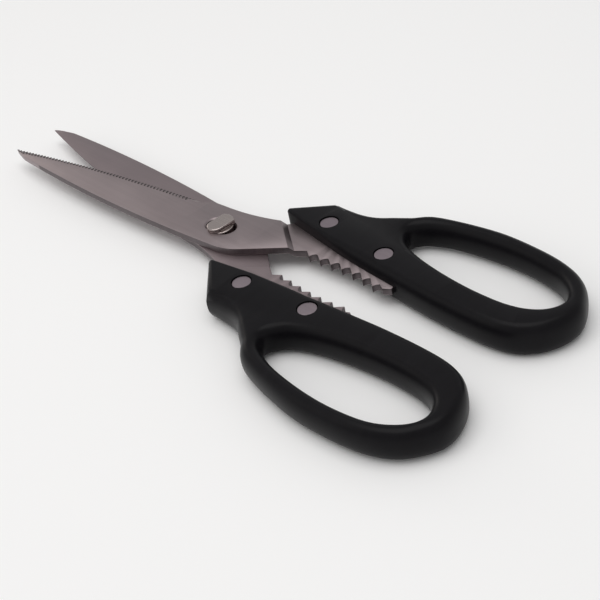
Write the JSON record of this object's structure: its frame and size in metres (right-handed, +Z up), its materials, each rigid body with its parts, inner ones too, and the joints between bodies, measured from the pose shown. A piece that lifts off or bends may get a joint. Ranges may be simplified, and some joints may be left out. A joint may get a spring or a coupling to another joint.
{
  "type": "poultry shears",
  "caption": "Take-apart poultry shears with a serrated upper blade, a plain lower blade, a toothed jaw behind the stud, and riveted moulded handles with finger loops.",
  "frame": {"origin": "centre of the whole object in X and Y at the height of the lowest faces of the handles, on which it lies", "axes": "+X from the blades towards the handles along the line that halves the opening angle, +Y towards the handle of the upper half, +Z up along the stud"},
  "size_m": [0.2162, 0.0834, 0.01],
  "materials": {
    "blade_steel": "satin, brushed along the blade",
    "stud_steel": "turned, polished edges",
    "rivet_steel": "satin",
    "handle_nylon": "fine satin grain, black"
  },
  "bodies": {
    "lower_half": {"lower_blade": "blade_steel", "lower_handle": "handle_nylon", "pivot_stud": "stud_steel", "lower_front_rivet_pin": "rivet_steel", "lower_front_rivet_sleeve": "rivet_steel", "lower_rear_rivet_pin": "rivet_steel", "lower_rear_rivet_sleeve": "rivet_steel"},
    "upper_half": {"upper_blade": "blade_steel", "upper_handle": "handle_nylon", "upper_front_rivet_pin": "rivet_steel", "upper_front_rivet_sleeve": "rivet_steel", "upper_rear_rivet_pin": "rivet_steel", "upper_rear_rivet_sleeve": "rivet_steel"}
  },
  "joints": [
    {"name": "stud_hinge", "type": "hinge", "parent": "lower_half", "child": "upper_half", "pos_m": [-0.0044, 0, 0.005], "axis": [0, 0, 1], "range_deg": [-8.6, 70]}
  ]
}
